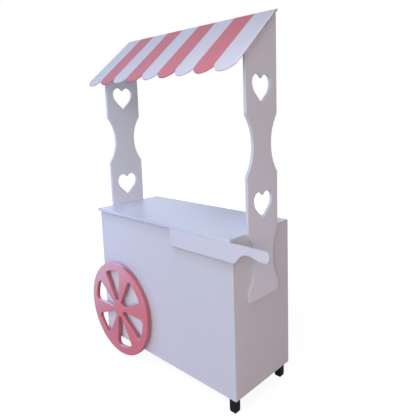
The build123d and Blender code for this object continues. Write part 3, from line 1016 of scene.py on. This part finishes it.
# %% Boss and bush
BOSS_RADIUS, BOSS_BORE = 0.030, 0.0091
boss_low, boss_high = (corner.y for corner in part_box("hub_boss"))
turned("wheel_boss", "hub_boss", pink_paint, [
    (boss_low, BOSS_BORE + BOSS_ROUND / 2), (boss_low, BOSS_RADIUS - BOSS_ROUND),
    (boss_low + BOSS_ROUND / 3, BOSS_RADIUS - BOSS_ROUND / 3), (boss_low + BOSS_ROUND, BOSS_RADIUS),
    (boss_high, BOSS_RADIUS), (boss_high, BOSS_BORE), (boss_low + BOSS_ROUND / 2, BOSS_BORE),
], closed=True)
BUSH_RADIUS, BUSH_BORE = 0.009, 0.00605
bush_low, bush_high = (corner.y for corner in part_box("axle_bush"))
bush_bore = [
    (bush_high, BUSH_BORE + CHAMFER), (bush_high - CHAMFER, BUSH_BORE), (bush_low + CHAMFER, BUSH_BORE),
    (bush_low, BUSH_BORE + CHAMFER),
]
bush_rings = rimmed(bush_low, bush_high, BUSH_RADIUS) + bush_bore
turned("bearing_bush", "axle_bush", nylon, bush_rings, closed=True)
print("bush is", round((bush_high - bush_low) * 1000, 1), "mm long")

# %% [markdown]
# ## Locknut
#
# A hexagon bar is turned down at its corners, which leaves the curved chamfers seen on every nut. Seen
# as rings, each ring is a hexagon cut by a circle: the smaller of the two distances at each angle.

# %% Nut
FLATS, NUT_STEPS, NUT_CHAMFER, COLLAR = 0.019, 48, 0.0009, 0.0024
CORNERS = FLATS / 2 / math.cos(math.pi / 6)


def hex_ring(limit):
    """A hexagon of points, trimmed to a circle."""
    ring = []
    for x, y in round_ring(NUT_STEPS, 1.0, 0):
        part = (math.atan2(y, x) + math.pi / 6) % (math.pi / 3) - math.pi / 6
        distance = min(FLATS / 2 / math.cos(part), limit)
        ring.append((distance * x, distance * y))
    return ring


nut_low, nut_high = (corner.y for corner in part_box("axle_locknut"))
collar_rings = [(0.0022, 0.0088), (0.0006, 0.0085), (0.0, 0.0078), (0.0, AXLE_RADIUS)]
nut_rings = [
    (nut_low, round_ring(NUT_STEPS, AXLE_RADIUS, 0)), (nut_low, hex_ring(FLATS / 2)),
    (nut_low + NUT_CHAMFER, hex_ring(CORNERS)), (nut_high - COLLAR - NUT_CHAMFER, hex_ring(CORNERS)),
    (nut_high - COLLAR, hex_ring(FLATS / 2)),
]
nut_rings += [(nut_high - drop, round_ring(NUT_STEPS, radius, 0)) for drop, radius in collar_rings]
nut = bmesh.new()
loft(nut, nut_rings, along_axle, closed=True)
lofted_piece("axle_nut", "axle_locknut", nut, zinc_steel)
print("nut is", round(FLATS * 1000), "mm across its flats")

# %% [markdown]
# ## Screws, bolts and pins
#
# All the fixings are the same kind of shape: a turned head and shank with a recess for the driver.
# Curve to Mesh sweeps a circle along a short line, and an index switch gives each point of that line
# its level and radius, which is a lathe. A star prism cuts the recess: four thin points make a cross,
# and three equal pairs make a hexagon socket. The shape is put on every seat, turned along its aim.


# %% Fixing tree
def pick(group, values):
    """The value for each point of a line, by its index."""
    node = group.add("GeometryNodeIndexSwitch", data_type="FLOAT").socket.node
    while len(node.index_switch_items) < len(values):
        node.index_switch_items.new()
    group.fill(node, dict(enumerate([group.add("GeometryNodeInputIndex")] + values)))
    return Wire(group, node.outputs[0])


fixing = Group(
    "fixing", Shank="Float", Length="Float", Head="Float", Height="Float", Points="Int", Inner="Float",
    Outer="Float", Depth="Float", Seed="Int", Material="Material",
)
shank, length, head, height = (fixing.input(key) for key in ("Shank", "Length", "Head", "Height"))
levels = [height * share for share in (-1.0, -0.93, -0.68, -0.25)]
levels += [0.0, 0.0, length - shank * 1.5, length]
radii = [head * share for share in (0.62, 0.75, 0.90, 0.995, 0.97)] + [shank, shank, shank * 0.25]
line = fixing.add("GeometryNodeCurvePrimitiveLine")
line = fixing.add("GeometryNodeResampleCurve", {0: line, "Count": len(levels)})
inputs = {0: line, "Position": fixing.upward(pick(fixing, levels))}
line = fixing.add("GeometryNodeSetPosition", inputs)
circle = fixing.add("GeometryNodeCurvePrimitiveCircle", {"Resolution": 20, "Radius": 1.0})
inputs = {0: line, 1: circle, "Scale": pick(fixing, radii), "Fill Caps": True}
lathe = fixing.add("GeometryNodeCurveToMesh", inputs)
print("lathe tree has", len(fixing.tree.nodes), "nodes so far")

# %% Recess and instances
FULL_TURN = 6.283
inputs = {index: fixing.input(key) for index, key in enumerate(("Points", "Inner", "Outer"))}
star = fixing.add("GeometryNodeCurveStar", inputs)
inputs = {0: fixing.upward(height * -1.5), 1: fixing.upward(fixing.input("Depth") - height)}
drop = fixing.add("GeometryNodeCurvePrimitiveLine", inputs)
cutter = fixing.add("GeometryNodeCurveToMesh", {0: drop, 1: star, "Fill Caps": True})
cut = fixing.add("GeometryNodeMeshBoolean", {0: lathe, 1: cutter}, solver="EXACT")
aim = fixing.add("GeometryNodeInputNamedAttribute", {0: "aim"}, data_type="FLOAT_VECTOR")
turn = fixing.add("FunctionNodeAlignRotationToVector", {"Vector": aim}, axis="Z")
inputs = {0: fixing.input("Geometry"), "Instance": cut, "Rotation": turn}
placed = fixing.add("GeometryNodeInstanceOnPoints", inputs)
inputs = {2: 0.0, 3: FULL_TURN, "Seed": fixing.input("Seed")}
chance = fixing.add("FunctionNodeRandomValue", inputs, out=1)
inputs = {0: placed, "Rotation": fixing.upward(chance)}
fixing.finish(fixing.add("GeometryNodeRotateInstances", inputs))
print("fixing tree has", len(fixing.tree.nodes), "nodes")

# %% [markdown]
# ## Seats
#
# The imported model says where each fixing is, as a plain prism. Its island gives the middle and the
# extent along the aim, and the head's underside is one head height in from its outer end.


# %% Points with an aim
def seats(node, aim, height):
    """Points where the heads sit, and the way each shank goes: along an aim, or else outwards."""
    found = []
    for points in islands(node):
        middle = sum(extents(points), Vector()) / 2
        outwards = (math.copysign(1.0, middle.x - counter_middle), 0, 0)
        way = Vector(aim or outwards).normalized()
        reach = [point.dot(way) for point in points]
        centre = sum((point - way * point.dot(way) for point in points), Vector()) / len(points)
        found.append((centre + way * (min(reach) + height), way))
    found.sort(key=lambda seat: tuple(round(part, 4) for part in seat[0]))
    mesh = bpy.data.meshes.new(node + "_seats")
    mesh.from_pydata([place for place, way in found], [], [])
    layer = mesh.attributes.new("aim", "FLOAT_VECTOR", "POINT")
    layer.data.foreach_set("vector", [part for place, way in found for part in way])
    return mesh, max(reach) - min(reach) - height


# %% Fixings
CROSS = {"Points": 4, "Inner": 0.0006, "Outer": 0.0021, "Depth": 0.0013}
SOCKET = {"Points": 3, "Inner": 0.0023, "Outer": 0.0023, "Depth": 0.0018}
SMOOTH = {"Points": 3, "Inner": 0.0005, "Outer": 0.0005, "Depth": -0.0002}
UPWARDS, FORWARDS = (0, 0, 1), (0, -1, 0)
screw = {"Shank": 0.0020, "Head": 0.00375, "Height": 0.0022, **CROSS}
bolt = {"Shank": 0.0030, "Head": 0.0085, "Height": 0.0025, **SOCKET}
peg = {"Shank": 0.0025, "Head": 0.0025, "Height": 0.0012, **SMOOTH}
fixings = {
    "leg_screws": (screw, UPWARDS), "handle_screws": (screw, FORWARDS), "cleat_screws": (screw, None),
    "canopy_screws": (screw, canopy_normal), "flange_screws": (screw, FORWARDS),
    "upright_bolts": (bolt, None), "shelf_pins": (peg, None),
}
for seed, (node, (shape, aim)) in enumerate(fixings.items()):
    mesh, length = seats(node, aim, shape["Height"])
    mesh = grown(fixing, mesh, Length=length, Seed=seed, Material=zinc_steel, **shape)
    mesh.set_sharp_from_angle(angle=CRISP)
    add_piece(node + "_turned", node, mesh, zinc_steel)
    print(node, len(mesh.polygons), "faces, shank", round(length * 1000, 1), "mm")

# %% [markdown]
# ## Threaded inserts
#
# The uprights' bolts go into brass inserts that stay hidden in the board. Their node's own shape is
# enough, so it stays and only gets a finish.

# %% Inserts
inserts = nodes["upright_inserts"].data
inserts.materials.clear()
inserts.materials.append(brass)
print("inserts keep their", len(inserts.polygons), "faces")

# %% [markdown]
# ## Floor and backdrop
#
# The photograph's background is plain white. To the camera the floor shows mostly its own glow, which
# is whiter far away, so no lamp has to burn the cart out. A small share of it is shaded paper, which
# keeps a soft shadow under the feet. The world shows white in the same way. Gloss sees the plain floor
# close by and a cool white far away, and that gives the paint its sheen towards the top.


# %% Rays that show the background
def ray_kinds(tree):
    """Whether a ray comes from the camera, and whether it comes from gloss or through glass."""
    kinds = ("Is Camera Ray", "Is Glossy Ray", "Is Transmission Ray")
    seen, gloss, through = (tree.add("ShaderNodeLightPath", out=kind) for kind in kinds)
    return seen, tree.add("ShaderNodeClamp", {0: gloss + through})


BACKDROP = (1.0, 1.0, 1.0, 1.0)
COOL_BACKDROP = (0.74, 0.87, 1.0, 1.0)

# %% Floor
FLOOR = (0.58, 0.52, 0.52, 1.0)
SHADED_PAPER = (0.22, 0.22, 0.22, 1.0)
HALF_WIDTH, NEAR_GLOW = 20.0, 0.885
corners = [(x * HALF_WIDTH, y * HALF_WIDTH, 0) for x, y in SQUARE]
floor_mesh = bpy.data.meshes.new("studio_floor")
floor_mesh.from_pydata(corners, [], [(0, 1, 2, 3)])
floor = bpy.data.objects.new("studio_floor", floor_mesh)
scene.collection.objects.link(floor)
floor_material = bpy.data.materials.new("studio_floor")
floor_material.use_nodes = True
floor_mesh.materials.append(floor_material)
print("floor", 2 * HALF_WIDTH, "m wide")

# %% Floor paper
paper = Nodes(floor_material.node_tree)
seen, mirrored = ray_kinds(paper)
spot = paper.add("ShaderNodeTexCoord", out="Object")
away = paper.vector("LENGTH", spot, out="Value")
cooler = paper.add("ShaderNodeMapRange", {"Value": away, "From Min": 0.5, "From Max": 3.2})
matte = paper.add("ShaderNodeBsdfDiffuse", {"Color": FLOOR})
cool = paper.add("ShaderNodeEmission", {"Color": COOL_BACKDROP, "Strength": 1.0})
plain = paper.add("ShaderNodeMixShader", {0: mirrored * cooler, 1: matte, 2: cool})
whiter = paper.add("ShaderNodeMapRange", {"Value": away, "From Min": 1.2, "From Max": 3.0})
near, far = (
    paper.add("ShaderNodeEmission", {"Color": BACKDROP, "Strength": glow}) for glow in (NEAR_GLOW, 1.0)
)
glow = paper.add("ShaderNodeMixShader", {0: whiter, 1: near, 2: far})
shaded = paper.add("ShaderNodeBsdfDiffuse", {"Color": SHADED_PAPER})
white = paper.add("ShaderNodeAddShader", {0: shaded, 1: glow})
mixed = paper.add("ShaderNodeMixShader", {0: seen, 1: plain, 2: white})
paper.add("ShaderNodeOutputMaterial", {"Surface": mixed})
print("floor paper has", len(paper.tree.nodes), "nodes")

# %% World
AMBIENT = 0.07
world = bpy.data.worlds.new("studio")
scene.world = world
world.use_nodes = True
sky = Nodes(world.node_tree)
seen, mirrored = ray_kinds(sky)
ambient, cool, white = (
    sky.add("ShaderNodeBackground", {"Color": colour, "Strength": strength})
    for colour, strength in ((BACKDROP, AMBIENT), (COOL_BACKDROP, 1.0), (BACKDROP, 1.0))
)
lit = sky.add("ShaderNodeMixShader", {0: mirrored, 1: ambient, 2: cool})
mixed = sky.add("ShaderNodeMixShader", {0: seen, 1: lit, 2: white})
sky.add("ShaderNodeOutputWorld", {"Surface": mixed})
print("ambient light", AMBIENT)

# %% [markdown]
# ## Lamps
#
# Bare lamps would cast hard shadows, which the photograph doesn't show, so soft boxes stand round the
# cart. The key lights the front from the right, the sky box hangs over it, and weaker boxes fill the
# sides and back with the tints seen there. A small cool one gives the wheel its sheen.

# %% Lamps
CART, WHEEL = Vector((0.0, 0.0, 1.0)), Vector((-0.5, -0.2, 0.8))
lamps = {
    "key": ((4.2, -6.4, 3.2), CART, 5.0, 338.0, (1.0, 0.98, 0.955)),
    "sky": ((0.4, -3.2, 5.6), CART, 5.0, 145.0, (0.82, 0.84, 1.0)),
    "front": ((-0.6, -6.2, 2.9), CART, 4.5, 66.0, (0.46, 0.74, 1.0)),
    "right": ((5.5, -0.8, 2.2), CART, 4.0, 32.0, (1.0, 0.52, 0.46)),
    "left": ((-5.0, 2.6, 2.4), CART, 4.0, 84.0, (0.84, 0.87, 1.0)),
    "back": ((-0.8, 5.0, 3.0), CART, 4.0, 99.0, (1.0, 1.0, 1.0)),
    "wheel_sheen": ((-2.0, -1.7, 2.0), WHEEL, 1.4, 25.0, (0.26, 0.50, 1.0)),
}
for name, (place, aim, width, watts, colour) in lamps.items():
    lamp = bpy.data.lights.new(name, "AREA")
    lamp.shape, lamp.size = "SQUARE", width
    lamp.energy, lamp.color = watts, colour
    holder = bpy.data.objects.new(name, lamp)
    holder.location = place
    holder.rotation_euler = (aim - Vector(place)).to_track_quat("-Z", "Y").to_euler()
    holder.visible_camera = False
    scene.collection.objects.link(holder)
print(len(lamps), "lamps")

# %% [markdown]
# ## The last line
#
# The scene shows its colours through the Standard view transform. The visual model must
# stay inside the imported model's box.

# %% Finish
scene.view_settings.view_transform = "Standard"
